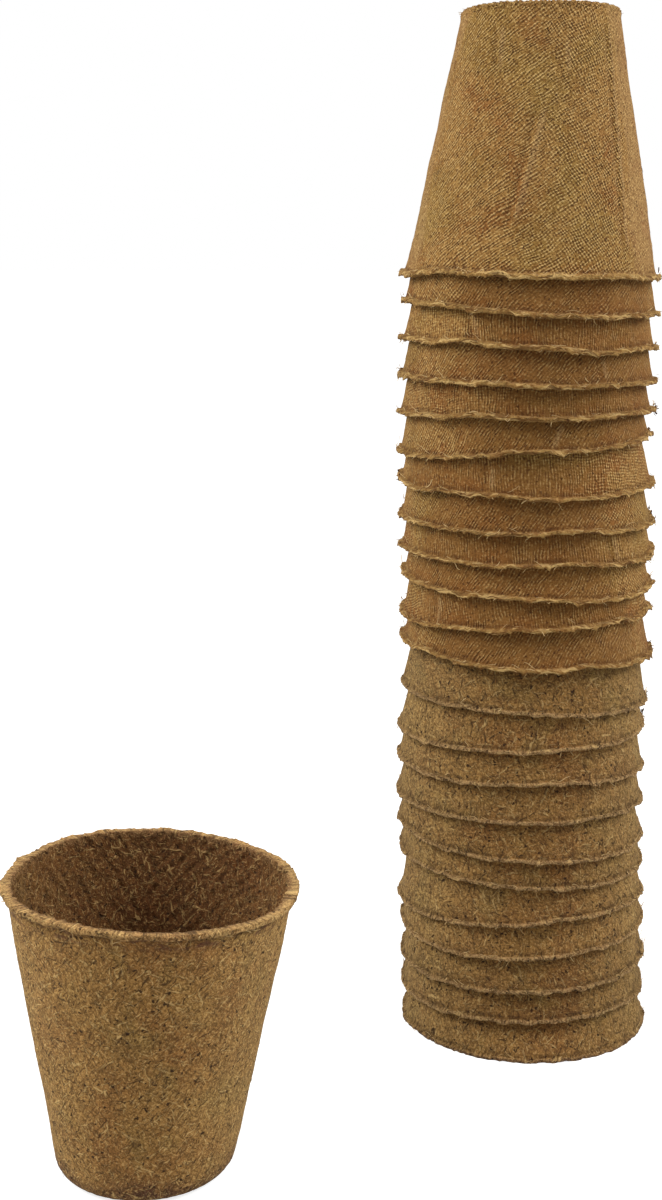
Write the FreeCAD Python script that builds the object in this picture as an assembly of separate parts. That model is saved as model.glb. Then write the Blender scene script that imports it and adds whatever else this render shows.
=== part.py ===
"""Small round plant pots of pressed fibre: a nested stack, mouths down, and one pot standing beside it.

Millimetres, +Z up. The origin is on the floor at the bottom centre of the whole set.
Each pot is one thin tapered cup with a closed base and a turned-out lip. In the stack each pot
covers the one below it, and rests about a seat height above that pot's lip. The lower pots of the
stack come from a coarse batch, the upper ones from a woven batch pressed on a wire mesh.
"""

import FreeCAD
import Part
import math
import os

# Counts of pots in the stack
coarse_count = 11
woven_count = 12

# Distances between the axis of the stack and the axis of the standing pot
spacing_x = 82.6
spacing_y = 74.3

# Sizes that every pot has
pot_height = 60.0
base_d = 35.4
wall = 1.12
floor_thickness = 1.4
lip_thickness = 1.3
neck_round = 0.8
lip_edge_share = 0.38
neck_room_share = 0.8

# Mouth of the coarse batch, which is the outside of its wall at the rim, and how much wider the others are
mouth_d = 57.5
woven_mouth_extra = 0.3
open_mouth_extra = 1.1

# How far each lip stands out past the mouth, and how round the edge of each base is
coarse_lip_reach = 0.65
woven_lip_reach = 1.0
open_lip_reach = 0.5
coarse_base_round = 3.6
woven_base_round = 2.2

# Gaps between the walls of nested pots, square to the wall
nest_clearance = 0.33
batch_clearance = 0.87


class Pot:
    """One kind of pot, mouth up, with the outside of its base at height 0."""

    def __init__(self, mouth_extra, lip_reach, base_round):
        mouth_r = (mouth_d + mouth_extra) / 2
        self.lip_r = mouth_r + lip_reach
        self.base_round = base_round
        self.slope = (mouth_r - base_d / 2) / pot_height
        self.taper = math.atan(self.slope)

    def outer_r(self, height):
        """Radius of the outside of the wall at a height over the base."""
        return base_d / 2 + self.slope * height

    def inner_r(self, height):
        """Radius of the inside of the wall at a height over the base."""
        return self.outer_r(height) - wall / math.cos(self.taper)

    def solid(self):
        """The cup, turned from half of its section."""
        under_lip = pot_height - lip_thickness
        lip_edge = lip_thickness * lip_edge_share
        neck_room = self.lip_r - self.outer_r(under_lip) - lip_edge
        inner_round = max(self.base_round - wall, floor_thickness)
        corners = [
            (0, 0, 0),
            (self.outer_r(0), 0, self.base_round),
            (self.outer_r(under_lip), under_lip, min(neck_round, neck_room * neck_room_share)),
            (self.lip_r, under_lip, lip_edge),
            (self.lip_r, pot_height, lip_edge),
            (self.inner_r(pot_height), pot_height, lip_edge),
            (self.inner_r(floor_thickness), floor_thickness, inner_round),
            (0, floor_thickness, 0),
        ]
        section = Part.Face(rounded_wire(corners))
        return section.revolve(FreeCAD.Vector(), FreeCAD.Vector(0, 0, 1), math.degrees(math.tau))


def rounded_wire(corners):
    """A closed wire in the XZ plane through (x, z, rounding) corners, as lines and tangent arcs."""
    points = [FreeCAD.Vector(x, 0, z) for x, z, rounding in corners]
    edges = []
    ends = []
    for i, (x, z, rounding) in enumerate(corners):
        here = points[i]
        back = (points[i - 1] - here).normalize()
        ahead = (points[(i + 1) % len(points)] - here).normalize()
        half_angle = back.getAngle(ahead) / 2
        setback = rounding / math.tan(half_angle)
        start = here + back * setback
        end = here + ahead * setback
        ends.append((start, end))
        if rounding:
            middle_way = (back + ahead).normalize()
            centre = here + middle_way * (rounding / math.sin(half_angle))
            edges.append(Part.Arc(start, centre - middle_way * rounding, end).toShape())
    for i, (start, end) in enumerate(ends):
        edges.append(Part.LineSegment(ends[i - 1][1], start).toShape())
    return Part.Wire(Part.__sortEdges__(edges))


def seat(upper, lower, clearance):
    """Height of the upper pot's lip over the lower pot's lip, both mouth down, for a wall gap.

    The gap is least at the upper pot's lip or where the lower pot's base starts to round.
    """
    gap = clearance / math.cos(upper.taper)
    straight_end = pot_height - lower.base_round
    reach = gap + lower.outer_r(pot_height) - upper.inner_r(pot_height)
    at_lip = reach / lower.slope
    at_base = (reach + (upper.slope - lower.slope) * straight_end) / upper.slope
    return max(at_lip, at_base)


def place(shape, x, y, z, mouth_down):
    """Turn a pot over if it stands mouth down, and put its lowest face at a height."""
    if mouth_down:
        shape.rotate(FreeCAD.Vector(0, 0, pot_height / 2), FreeCAD.Vector(1, 0, 0), math.degrees(math.pi))
    shape.translate(FreeCAD.Vector(x, y, z))
    return shape


def build_set():
    """All the pots, as a table of node names and placed solids."""
    coarse = Pot(0, coarse_lip_reach, coarse_base_round)
    woven = Pot(woven_mouth_extra, woven_lip_reach, woven_base_round)
    standing = Pot(open_mouth_extra, open_lip_reach, coarse_base_round)

    stack_r = max(coarse.lip_r, woven.lip_r)
    stack_x = (spacing_x + standing.lip_r - stack_r) / 2
    stack_y = (spacing_y + standing.lip_r - stack_r) / 2

    parts = {}
    kinds = [coarse] * coarse_count + [woven] * woven_count
    below = None
    lip_height = 0
    for i, kind in enumerate(kinds):
        if below:
            clearance = nest_clearance if kind is below else batch_clearance
            lip_height += seat(kind, below, clearance)
        parts[f"stack_pot_{i + 1:02d}"] = place(kind.solid(), stack_x, stack_y, lip_height, True)
        below = kind
    parts["standing_pot"] = place(standing.solid(), stack_x - spacing_x, stack_y - spacing_y, 0, False)
    return parts


def main():
    """Write each pot to its own file and print its volume and the height of its centre."""
    os.makedirs("parts", exist_ok=True)
    for name, shape in build_set().items():
        shape.exportStep(os.path.join("parts", f"{name}.step"))
        centre = shape.CenterOfMass
        print(name, "valid", shape.isValid(), "volume", round(shape.Volume), "centre height", round(centre.z, 3))


main()
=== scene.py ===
"""Small round plant pots of pressed fibre: a nested stack, mouths down, and one pot standing beside it.

Every pot is spun from half of its section, copied for its place in the set, and then given the
uneven lip, the dents and the loose fibres of a real one. Sizes are in millimetres unless a name
says otherwise, and the scene is in metres.
"""

import logging
import math
from dataclasses import dataclass
from dataclasses import field
from dataclasses import replace
from enum import Enum

import bpy
import numpy as np
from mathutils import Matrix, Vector


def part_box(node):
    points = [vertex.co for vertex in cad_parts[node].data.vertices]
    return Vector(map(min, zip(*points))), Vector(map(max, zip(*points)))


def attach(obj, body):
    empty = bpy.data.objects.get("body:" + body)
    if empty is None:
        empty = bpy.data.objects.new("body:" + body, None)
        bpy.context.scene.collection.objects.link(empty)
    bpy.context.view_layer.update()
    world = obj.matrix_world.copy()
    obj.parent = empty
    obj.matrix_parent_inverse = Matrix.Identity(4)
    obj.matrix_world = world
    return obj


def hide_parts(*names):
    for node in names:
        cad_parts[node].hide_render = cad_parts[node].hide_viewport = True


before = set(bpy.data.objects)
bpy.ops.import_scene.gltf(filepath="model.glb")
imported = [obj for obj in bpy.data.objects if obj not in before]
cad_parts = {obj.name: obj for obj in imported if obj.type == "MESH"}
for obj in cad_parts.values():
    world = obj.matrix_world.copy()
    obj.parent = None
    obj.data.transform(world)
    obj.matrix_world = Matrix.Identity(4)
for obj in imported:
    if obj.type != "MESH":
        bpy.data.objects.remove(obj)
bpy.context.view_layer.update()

Colour = tuple[int, int, int]
Faces = list[tuple[int, ...]]
Feeds = dict[str | int, object]
Lay = tuple[float, float, float, float]
Socket = bpy.types.NodeSocket
Zone = tuple[float, float]

MM = 0.001
TAU = math.tau
WRAP_MAP = "wrap"

# Depths under the mouth, far and near, between which each change at the lip comes in
TILT_ZONE: Zone = (22.0, 3.0)
LIP_ZONE: Zone = (3.2, 1.6)
BULGE_ZONE: Zone = (9.5, 7.0)
# Depths of the band of painted shade and stain under the pot over it
BAND_SHADE_ZONE: Zone = (11.5, 5.5)
NECK_ZONE: Zone = (4.2, 2.6)

# Each uneven field: step of its seed, waves round the pot, wavelengths up the wall, count of waves
RIPPLES: dict[str, tuple[int, tuple[int, int], Zone, int]] = {
    "dent": (0, (0, 9), (60.0, 12.0), 28),
    "grain": (1, (8, 70), (14.0, 2.2), 44),
    "rough": (7, (20, 105), (7.0, 1.7), 60),
    "flakes": (8, (34, 140), (5.0, 1.4), 44),
    "patch": (9, (1, 6), (70.0, 20.0), 16),
    "lip_low": (2, (2, 5), (900.0, 400.0), 8),
    "lip_mid": (3, (5, 15), (900.0, 400.0), 14),
    "ragged": (4, (26, 105), (9.0, 1.6), 40),
    "reach": (5, (3, 14), (900.0, 400.0), 14),
    "droop": (6, (6, 40), (900.0, 400.0), 24),
}

log = logging.getLogger("fibre pots")


class Batch(Enum):
    """Which batch of pulp a pot comes from."""

    COARSE = "coarse_fibre"
    WOVEN = "woven_fibre"


class Mark(Enum):
    """What is kept at every point of a pot for the finishes to read."""

    LIP = "lip"
    # The inside gets a darker colour: partly the pulp's own inner face, partly painted shade in the hollow
    INSIDE = "inside"
    NECK = "neck"
    # Painted shade, partly stain: the band that shows under the pot over it, darkest towards the front
    BAND = "band"
    PRINT = "print"
    SQUARE = "square"
    # Painted shadow on one side of each crease and painted highlight on the other
    FOLD = "fold"
    # Darker towards the base: partly dirt, partly painted shade where the pot meets the floor; on the pot on
    # the floor, also a painted shadow along its lip edge
    FOOT_DIRT_AND_SHADE = "foot"
    # Painted shade: a thin dark line in the corner where the lip meets the wall
    SEAM = "seam"
    # Painted light: paler towards the left and right of the pot, outside and inside
    SIDE_LIGHT = "dry"
    TURN = "turn"
    TONE = "tone"


class Stray(Enum):
    """Kinds of stray fibre: least and most half thickness, and least and most tone."""

    HAIR = (0.05, 0.11, 0.0, 0.4)
    WALL = (0.028, 0.062, 0.42, 1.1)
    INSIDE = (0.025, 0.052, 0.5, 1.0)
    BURR = (0.05, 0.09, 0.1, 0.7)
    CRUMB = (0.08, 0.2, 0.8, 1.1)


def ease(low: float, high: float, value: np.ndarray) -> np.ndarray:
    """Rise smoothly from 0 at low to 1 at high.

    Args:
        low: Where the rise starts.
        high: Where the rise ends.
        value: The values to look at.

    Returns:
        A share from 0 to 1 for each value.
    """
    share = np.clip((value - low) / (high - low), 0.0, 1.0)
    return share * share * (3.0 - 2.0 * share)


def bell(away: np.ndarray) -> np.ndarray:
    """1 where away is 0, falling off smoothly on both sides."""
    return np.exp(-away ** 2)


def pick_nothing() -> None:
    """Leave no object selected, so that an operator acts on new work alone."""
    bpy.ops.object.select_all(action="DESELECT")
    bpy.context.view_layer.objects.active = None


def put(name: str, data: bpy.types.ID) -> bpy.types.Object:
    """Stand a mesh, a lamp or a camera in the scene as an object of its own.

    Args:
        name: The object's name.
        data: The mesh, lamp or camera.

    Returns:
        The object.
    """
    thing = bpy.data.objects.new(name, data)
    bpy.context.scene.collection.objects.link(thing)
    return thing


def axis_of(node: str) -> tuple[float, float]:
    """Place of a CAD pot's axis on the floor, in millimetres."""
    low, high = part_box(node)
    return (low.x + high.x) / 2.0 / MM, (low.y + high.y) / 2.0 / MM


def read_points(mesh: bpy.types.Mesh) -> np.ndarray:
    """Read the points of a mesh.

    Args:
        mesh: The mesh.

    Returns:
        The points as rows of three numbers.
    """
    flat = np.zeros(len(mesh.vertices) * 3, np.float32)
    mesh.vertices.foreach_get("co", flat)
    return flat.reshape(-1, 3).astype(float)


def write_marks(mesh: bpy.types.Mesh, marks: dict[Mark, np.ndarray]) -> None:
    """Keep values at the points of a mesh, each under its mark's name.

    Args:
        mesh: The mesh.
        marks: The values of each mark, one for each point.
    """
    for mark, values in marks.items():
        layer = mesh.attributes.new(mark.value, "FLOAT", "POINT")
        layer.data.foreach_set("value", values.astype(np.float32))


def arc(centre: Vector, start: Vector, end: Vector, pieces: int) -> list[Vector]:
    """Points on the short arc from start to end about a centre.

    Args:
        centre: Middle of the arc's circle.
        start: First point.
        end: Last point.
        pieces: How many chords the arc gets.

    Returns:
        The points, first and last included.
    """
    first = math.atan2(*(start - centre).yx)
    turn = math.atan2(*(end - centre).yx) - first
    turn -= TAU * round(turn / TAU)
    radius = (start - centre).length
    angles = [first + turn * k / pieces for k in range(pieces + 1)]
    return [centre + Vector((math.cos(a), math.sin(a))) * radius for a in angles]


class Ripple:
    """A smooth uneven field round a pot, made of waves that close on themselves."""

    def __init__(self, seed: int, turns: tuple[int, int], rise: Zone, count: int) -> None:
        """Draw the waves.

        Args:
            seed: Fixes the random draw.
            turns: Fewest and most waves round the pot.
            rise: Longest and shortest wavelength up the wall.
            count: How many waves are added up.
        """
        draw = np.random.default_rng(seed)
        self.around = draw.integers(turns[0], turns[1] + 1, count) * draw.choice([-1, 1], count)
        self.up = TAU / draw.uniform(rise[1], rise[0], count) * draw.choice([-1, 1], count)
        self.phase = draw.uniform(0.0, TAU, count)
        self.strength = draw.uniform(0.5, 1.0, count)
        self.strength /= math.sqrt((self.strength ** 2).sum() / 2.0)

    def at(self, angle: np.ndarray, height: np.ndarray) -> np.ndarray:
        """Value of the field, about 1 in strength.

        Args:
            angle: Angles round the pot.
            height: As many heights over the base.

        Returns:
            The value at each.
        """
        total = np.zeros_like(angle)
        for around, up, phase, strength in zip(self.around, self.up, self.phase, self.strength):
            total += strength * np.cos(around * angle + up * height + phase)
        return total


@dataclass(frozen=True)
class PotForm:
    """Sizes of one kind of pot, mouth up, with the outside of its base at height 0."""

    lip_d: float
    mouth_d: float
    inside_step: float = 5.0
    wall_step: float = 3.0
    floor_step: float = 3.0
    steps: int = 288
    height: float = 60.0
    base_d: float = 35.4
    wall: float = 1.12
    floor: float = 1.4
    lip_thickness: float = 1.3
    base_round: float = 3.6
    neck_round: float = 0.8
    neck_room_share: float = 0.8
    lip_edge_share: float = 0.38
    fine_band: float = 11.0
    fine_step: float = 0.45
    arc_step_share: float = 1.6

    @property
    def slope(self) -> float:
        """Growth of the radius for each millimetre of height."""
        return (self.mouth_d - self.base_d) / 2.0 / self.height

    @property
    def taper(self) -> float:
        """Lean of the wall from the upright, in radians."""
        return math.atan(self.slope)

    def outer_r(self, height: np.ndarray | float) -> np.ndarray | float:
        """Radius of the outside of the wall at a height."""
        return self.base_d / 2.0 + self.slope * height

    def inner_r(self, height: np.ndarray | float) -> np.ndarray | float:
        """Radius of the inside of the wall at a height."""
        return self.outer_r(height) - self.wall / math.cos(self.taper)

    def middle_r(self, height: np.ndarray) -> np.ndarray:
        """Radius of the middle of the wall at a height."""
        return (self.outer_r(height) + self.inner_r(height)) / 2.0

    def near_lip(self, zone: Zone, height: np.ndarray) -> np.ndarray:
        """Rise from 0 at the zone's far depth under the mouth to 1 at its near one."""
        return ease(self.height - zone[0], self.height - zone[1], height)

    def corners(self) -> list[tuple[float, float, float, float]]:
        """Corners of the half section, in the order of its outline.

        Returns:
            Radius, height and rounding of each, and the step of the run that ends there.
        """
        under_lip = self.height - self.lip_thickness
        lip_r = self.lip_d / 2.0
        edge = self.lip_thickness * self.lip_edge_share
        neck = min(self.neck_round, (lip_r - self.outer_r(under_lip) - edge) * self.neck_room_share)
        fine_from = self.height - self.fine_band
        step = self.fine_step
        return [
            (0.0, 0.0, 0.0, self.floor_step),
            (self.outer_r(0.0), 0.0, self.base_round, self.floor_step),
            (self.outer_r(fine_from), fine_from, 0.0, self.wall_step),
            (self.outer_r(under_lip), under_lip, neck, step),
            (lip_r, under_lip, edge, step),
            (lip_r, self.height, edge, step),
            (self.inner_r(self.height), self.height, edge, step),
            (self.inner_r(fine_from), fine_from, 0.0, max(step, self.inside_step / 2.0)),
            (self.inner_r(self.floor), self.floor, self.base_round - self.wall, self.inside_step),
            (0.0, self.floor, 0.0, self.floor_step),
        ]

    def outline(self) -> list[tuple[float, float]]:
        """Points of the half section from the middle of the base out, up, over the lip and back in.

        Returns:
            Radius and height of each point.
        """
        corners = self.corners()
        points: list[tuple[float, float]] = []
        for i, (radius, height, rounding, step) in enumerate(corners):
            here = Vector((radius, height))
            run = [here]
            if rounding:
                back = (Vector(corners[i - 1][:2]) - here).normalized()
                ahead = (Vector(corners[i + 1][:2]) - here).normalized()
                half_angle = back.angle(ahead) / 2.0
                centre = here + (back + ahead).normalized() * (rounding / math.sin(half_angle))
                setback = rounding / math.tan(half_angle)
                sweep = math.pi - 2.0 * half_angle
                chord = min(step, self.fine_step * self.arc_step_share)
                pieces = max(2, round(rounding * sweep / chord))
                run = arc(centre, here + back * setback, here + ahead * setback, pieces)
            if points:
                last = Vector(points[-1])
                gap = run[0] - last
                count = max(1, round(gap.length / step))
                points += [tuple(last + gap * (k / count)) for k in range(1, count)]
            points += [tuple(p) for p in run]
        return points


@dataclass
class Mould:
    """The pattern of one kind of pot, from which each pot of that kind is copied."""

    name: str
    form: PotForm
    weld: float = 0.002
    pattern: bpy.types.Object | None = None

    def make(self) -> None:
        """Spin the half section into a closed cup, in millimetres, mouth up."""
        pick_nothing()
        bpy.ops.mesh.primitive_plane_add(size=1.0, location=(0.0, 0.0, 0.0))
        self.pattern = bpy.context.object
        self.pattern.name = self.name
        bpy.ops.object.mode_set(mode="EDIT")
        bpy.ops.mesh.select_all(action="SELECT")
        bpy.ops.mesh.merge(type="CENTER")
        last = Vector((0.0, 0.0))
        for point in self.form.outline()[1:]:
            step = Vector(point) - last
            last = Vector(point)
            bpy.ops.mesh.extrude_region_move(TRANSFORM_OT_translate={"value": (step.x, 0.0, step.y)})
        bpy.ops.mesh.select_all(action="SELECT")
        bpy.ops.mesh.spin(steps=self.form.steps, angle=TAU, center=(0.0, 0.0, 0.0), axis=(0.0, 0.0, 1.0))
        bpy.ops.mesh.select_all(action="SELECT")
        bpy.ops.mesh.remove_doubles(threshold=self.weld)
        bpy.ops.mesh.normals_make_consistent(inside=False)
        bpy.ops.object.mode_set(mode="OBJECT")
        bpy.ops.object.shade_smooth()
        log.info("mould %s: %d faces", self.name, len(self.pattern.data.polygons))

    def copy(self, name: str) -> bpy.types.Object:
        """Copy the pattern for one pot.

        Args:
            name: Name of the new piece.

        Returns:
            A pot-to-be with its own mesh.
        """
        piece = put(name, self.pattern.data.copy())
        piece.data.name = name
        return piece

    def discard(self) -> None:
        """Remove the pattern once every pot is copied."""
        bpy.data.objects.remove(self.pattern)


@dataclass
class StackBend:
    """The slight sideways wander of the whole stack, the same for every pot at one height."""

    heights: tuple[float, ...] = (0, 10, 26, 42, 56, 72, 88, 110, 132, 150, 165, 182, 238)
    to_right: tuple[float, ...] = (1.0, 0.8, 0.8, -0.3, -0.7, -0.4, 0.3, 0.4, 0.0, -0.4, -0.2, 0.4, 1.9)
    soften: tuple[float, ...] = (-6.0, -3.0, 0.0, 3.0, 6.0)
    depth_sway: float = 0.5
    depth_wave: float = 95.0
    foot_forward: float = 2.2
    foot_height: float = 8.0

    def at(self, height: np.ndarray) -> tuple[np.ndarray, np.ndarray]:
        """How far the stack has wandered.

        Args:
            height: Heights over the ground.

        Returns:
            The shift to the right and the shift to the back at each height.
        """
        right = np.zeros_like(height)
        for offset in self.soften:
            right += np.interp(height + offset, self.heights, self.to_right) / len(self.soften)
        back = self.depth_sway * np.sin(height / self.depth_wave * TAU)
        return right, back - self.foot_forward * (1.0 - ease(0.0, self.foot_height, height))


@dataclass(frozen=True)
class Crease:
    """A long shallow fold pressed in a wall. Turns are in degrees."""

    low: float
    high: float
    turn_low: float
    turn_high: float
    width: float = 0.8
    depth: float = 0.3
    fade: float = 5.0

    def across(self, angle: np.ndarray, height: np.ndarray, radius: np.ndarray) -> np.ndarray:
        """Distance from the fold line to the right.

        Args:
            angle: Angle of each point round the pot.
            height: Its height over the base.
            radius: Its distance from the axis.

        Returns:
            The distance of each point, in fold widths.
        """
        share = np.clip((height - self.low) / (self.high - self.low), 0.0, 1.0)
        line = np.radians(self.turn_low + (self.turn_high - self.turn_low) * share)
        return np.angle(np.exp(1j * (angle - line))) * radius / self.width

    def along(self, height: np.ndarray) -> np.ndarray:
        """How strong the fold is at a height."""
        start = ease(self.low, self.low + self.fade, height)
        return start * (1.0 - ease(self.high - self.fade, self.high, height))


@dataclass(frozen=True)
class Wear:
    """How uneven one pot is. Turns are in degrees, the widths of kinks in radians."""

    seed: int = 0
    rise_left: float = 0.0
    rise_front: float = 0.0
    rise_right: float = 0.0
    lip_wave: float = 0.3
    kinks: int = 4
    kink_height: float = 0.6
    kink_heights: Zone = (0.4, 1.0)
    kink_widths: Zone = (0.1, 0.26)
    kink_skew: float = 0.8
    low_wave_share: float = 0.6
    mid_wave_share: float = 0.3
    lip_ragged: float = 0.06
    lip_flakes: float = 0.36
    lip_reach: float = 0.14
    lip_flare: float = 0.12
    flare_from: float = 3.4
    droop: float = 0.16
    wall_dent: float = 0.05
    free_dent: float = 1.6
    wall_grain: float = 0.03
    inner_grain: float = 0.0
    base_grain: float = 0.0
    band_bulge: float = 0.12
    # Strength of the painted shade and stain on the band under the pot over it
    band_shade_and_stain: float = 1.0
    tone: float = 0.0
    # Height of a painted shadow along the lip edge, where a mouth-down pot meets the floor
    dark_edge: float = 0.0
    lip_pale: float = 1.0
    # Share of painted light towards the left and right sides
    painted_side_light: float = 0.0
    neck_stain: float = 0.2
    crumb_turn: float | None = None
    # Turn at which that band's painted shade is centred, near the front
    band_shade_turn: float = 0.0
    wrap_turn: float = 0.0
    print_strength: float = 0.85
    print_gaps: tuple[Zone, ...] = ()
    square_from: float = -180.0
    mouth_square: float = 0.0
    lean: float = 0.0
    creases: tuple[Crease, ...] = ()


@dataclass
class Pot:
    """One pot: its pressed cup and what its finish reads."""

    name: str
    mould: Mould
    batch: Batch
    axis: tuple[float, float]
    foot: float
    mouth_down: bool
    wear: Wear
    bend: StackBend | None = None
    free_wall: bool = False
    fields: dict[str, Ripple] = field(default_factory=dict)

    def __post_init__(self) -> None:
        """Draw the fields that make this pot uneven."""
        seed = self.wear.seed * 10
        self.fields = {name: Ripple(seed + step, *waves) for name, (step, *waves) in RIPPLES.items()}

    @property
    def form(self) -> PotForm:
        """The sizes of this kind of pot."""
        return self.mould.form

    @property
    def upward(self) -> float:
        """1 where the mouth is up, -1 where it is down."""
        return -1.0 if self.mouth_down else 1.0

    def angles(self, points: np.ndarray) -> np.ndarray:
        """Angle of each point round the pot as it stands: 0 at the front, growing to the right."""
        return np.arctan2(points[:, 0], points[:, 1] * -self.upward)

    def lip_rise(self, angle: np.ndarray) -> np.ndarray:
        """How far the lip is moved up in the scene.

        Args:
            angle: Angles round the pot.

        Returns:
            The rise at each angle.
        """
        wear = self.wear
        side = (wear.rise_right - wear.rise_left) / 2.0
        even = (wear.rise_right + wear.rise_left) / 2.0
        rise = side * np.sin(angle)
        rise += even * np.sin(angle) ** 2
        rise += wear.rise_front * np.cos(angle) * np.abs(np.cos(angle))
        flat = np.zeros_like(angle)
        rise += wear.lip_wave * wear.low_wave_share * self.fields["lip_low"].at(angle, flat)
        rise += wear.lip_wave * wear.mid_wave_share * self.fields["lip_mid"].at(angle, flat)
        draw = np.random.default_rng(wear.seed + 300)
        for _ in range(wear.kinks):
            middle = draw.uniform(-math.pi, math.pi)
            width = draw.uniform(*wear.kink_widths)
            lift = draw.choice([-1.0, 1.0]) * draw.uniform(*wear.kink_heights) * wear.kink_height
            away = np.angle(np.exp(1j * (angle - middle))) / width
            rise += lift * bell(away) * (1.0 + wear.kink_skew * np.tanh(away * 2.0))
        return rise

    def press(self, points: np.ndarray) -> np.ndarray:
        """Move points of the even cup to where they are on this uneven pot.

        Args:
            points: Points by the cup, mouth up, in millimetres.

        Returns:
            The same points in the set's frame, in metres.
        """
        radius = np.hypot(points[:, 0], points[:, 1])
        angle = self.angles(points)
        radius, height = self.press_wall(angle, radius, points[:, 2])
        form = self.form
        wear = self.wear
        slide = self.lip_rise(angle) * form.near_lip(TILT_ZONE, points[:, 2]) * self.upward
        height = height + slide
        radius = radius + slide * form.slope
        if wear.mouth_square:
            square = np.cos(4.0 * (angle - 0.55)) + 0.5 * np.cos(2.0 * angle + 0.4)
            radius = radius * (1.0 + wear.mouth_square * square * ease(0.0, form.height, height))
        if self.mouth_down:
            height = np.minimum(height, form.height + self.foot)
        x = self.axis[0] + radius * np.sin(angle)
        y = self.axis[1] - radius * np.cos(angle)
        z = self.foot + (form.height - height if self.mouth_down else height)
        x = x + wear.lean * (z - self.foot - form.height / 2.0) / form.height
        if self.bend:
            right, back = self.bend.at(z)
            x = x + right
            y = y + back
        return np.column_stack([x, y, z]) * MM

    def press_wall(
        self, angle: np.ndarray, radius: np.ndarray, height: np.ndarray
    ) -> tuple[np.ndarray, np.ndarray]:
        """Give the wall its dents, grain and creases, and the lip its ragged edge.

        Args:
            angle: Angle of each point round the pot.
            radius: Its distance from the axis.
            height: Its height over the base.

        Returns:
            The new radius and height of each point.
        """
        form = self.form
        wear = self.wear
        fields = self.fields
        flat = np.zeros_like(angle)
        over_floor = ease(form.floor * 0.3, form.floor * 0.7, height)
        outer = ease(-0.2, 0.2, radius - form.middle_r(height)) * over_floor
        outside = np.where(height < form.floor * 0.6, 1.0, outer)
        reach = form.lip_d / 2.0 - form.outer_r(form.height)
        lip_part = np.clip((radius - form.outer_r(height)) / reach, 0.0, 1.3)
        lip_part = lip_part * form.near_lip(LIP_ZONE, height)
        wall_part = ease(0.0, 4.0, radius)
        dent = wear.wall_dent * fields["dent"].at(angle, height)
        if self.free_wall:
            dent *= wear.free_dent
        radius = radius + dent * wall_part * ease(1.0, 12.0, height)
        radius = radius + wear.wall_grain * fields["grain"].at(angle, height) * outside * wall_part
        if wear.inner_grain:
            rough = fields["rough"].at(angle, height)
            radius = radius + wear.inner_grain * rough * (1.0 - outside) * ease(form.floor, 5.0, height)
        radius = radius + wear.lip_flare * form.near_lip((wear.flare_from, 0.8), height)
        band = form.near_lip(BULGE_ZONE, height) * outside
        radius = radius + wear.band_bulge * band * (0.5 + 0.7 * fields["lip_mid"].at(angle, flat))
        bite = fields["ragged"].at(angle, height)
        ragged = wear.lip_ragged * (bite - 1.6 * np.clip(bite - 1.0, 0.0, 1.2))
        flakes = wear.lip_flakes * np.clip(fields["flakes"].at(angle, flat) - 0.7, 0.0, 1.6)
        end_part = lip_part * form.near_lip((form.lip_thickness, 0.1), height)
        radius = radius + lip_part * (wear.lip_reach * fields["reach"].at(angle, flat) + ragged)
        radius = radius + 0.5 * flakes * end_part
        height = height + lip_part * (ragged * 0.6 + wear.droop * fields["droop"].at(angle, flat))
        height = height + flakes * end_part
        if wear.base_grain:
            burr = np.clip(fields["flakes"].at(angle, height), -1.0, 1.6) * wear.base_grain
            base_r = form.base_d / 2.0
            near_base = bell((height - 0.6) / 1.1) * ease(base_r - 3.5, base_r - 1.0, radius)
            radius = radius + burr * near_base
            height = height - burr * near_base * 0.7
        for crease in wear.creases:
            across = crease.across(angle, height, radius)
            fold = (across - 0.35) * bell(across) * 2.2
            radius = radius + crease.depth * crease.along(height) * fold
        return radius, height

    def build(self) -> bpy.types.Object:
        """Copy the mould, mark its parts, and press it into this pot's own shape.

        Returns:
            The pressed cup.
        """
        piece = self.mould.copy(self.name + "_shell")
        mesh = piece.data
        points = read_points(mesh)
        write_marks(mesh, self.marks(points))
        self.wrap(mesh, points)
        mesh.vertices.foreach_set("co", self.press(points).ravel())
        mesh.update()
        return piece

    def marks(self, points: np.ndarray) -> dict[Mark, np.ndarray]:
        """What the finishes read at each point of the even cup, and this pot's own tone.

        Args:
            points: The points, mouth up, in millimetres.

        Returns:
            The values of every mark.
        """
        form = self.form
        wear = self.wear
        radius = np.hypot(points[:, 0], points[:, 1])
        height = points[:, 2]
        angle = self.angles(points)
        degrees = np.degrees(angle)
        patch = self.fields["patch"].at(angle, height)
        under_lip = form.height - form.lip_thickness
        inside = ease(-0.3, 0.3, form.middle_r(height) - radius)
        inside = inside * ease(form.floor * 0.4, form.floor * 0.8, height)
        outside = 1.0 - inside
        lip = ease(under_lip - 0.3, under_lip + 0.15, height)
        # Painted shade, partly stain: the band is darkest near the front and fades towards the sides
        off_band_shade = np.abs((degrees - wear.band_shade_turn + 180.0) % 360.0 - 180.0)
        stain_and_shade = 1.0 - 0.85 * ease(36.0, 64.0, off_band_shade + 9.0 * patch)
        uneven = degrees + 3.0 * patch
        printed = np.ones_like(angle)
        for first, last in wear.print_gaps:
            gap = ease(first - 6.0, first + 6.0, uneven) * (1.0 - ease(last - 6.0, last + 6.0, uneven))
            printed *= 1.0 - gap
        # Painted shadow on one side of each crease and painted highlight on the other, beside the real fold
        fold = np.zeros_like(angle)
        for crease in wear.creases:
            across = crease.across(angle, height, radius)
            shadow = np.exp(-(across + 0.6) ** 2 * 1.6)
            fold += crease.along(height) * (shadow - 0.8 * bell(across - 0.9))
        # Darker towards the base, partly dirt and partly painted shade where the pot meets the floor; the
        # lip edge can get a painted shadow too
        foot = 1.0 - ease(0.4, 7.0, height + 1.2 * patch)
        if wear.dark_edge:
            foot = foot + form.near_lip((wear.dark_edge + 0.25, wear.dark_edge), height)
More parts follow.
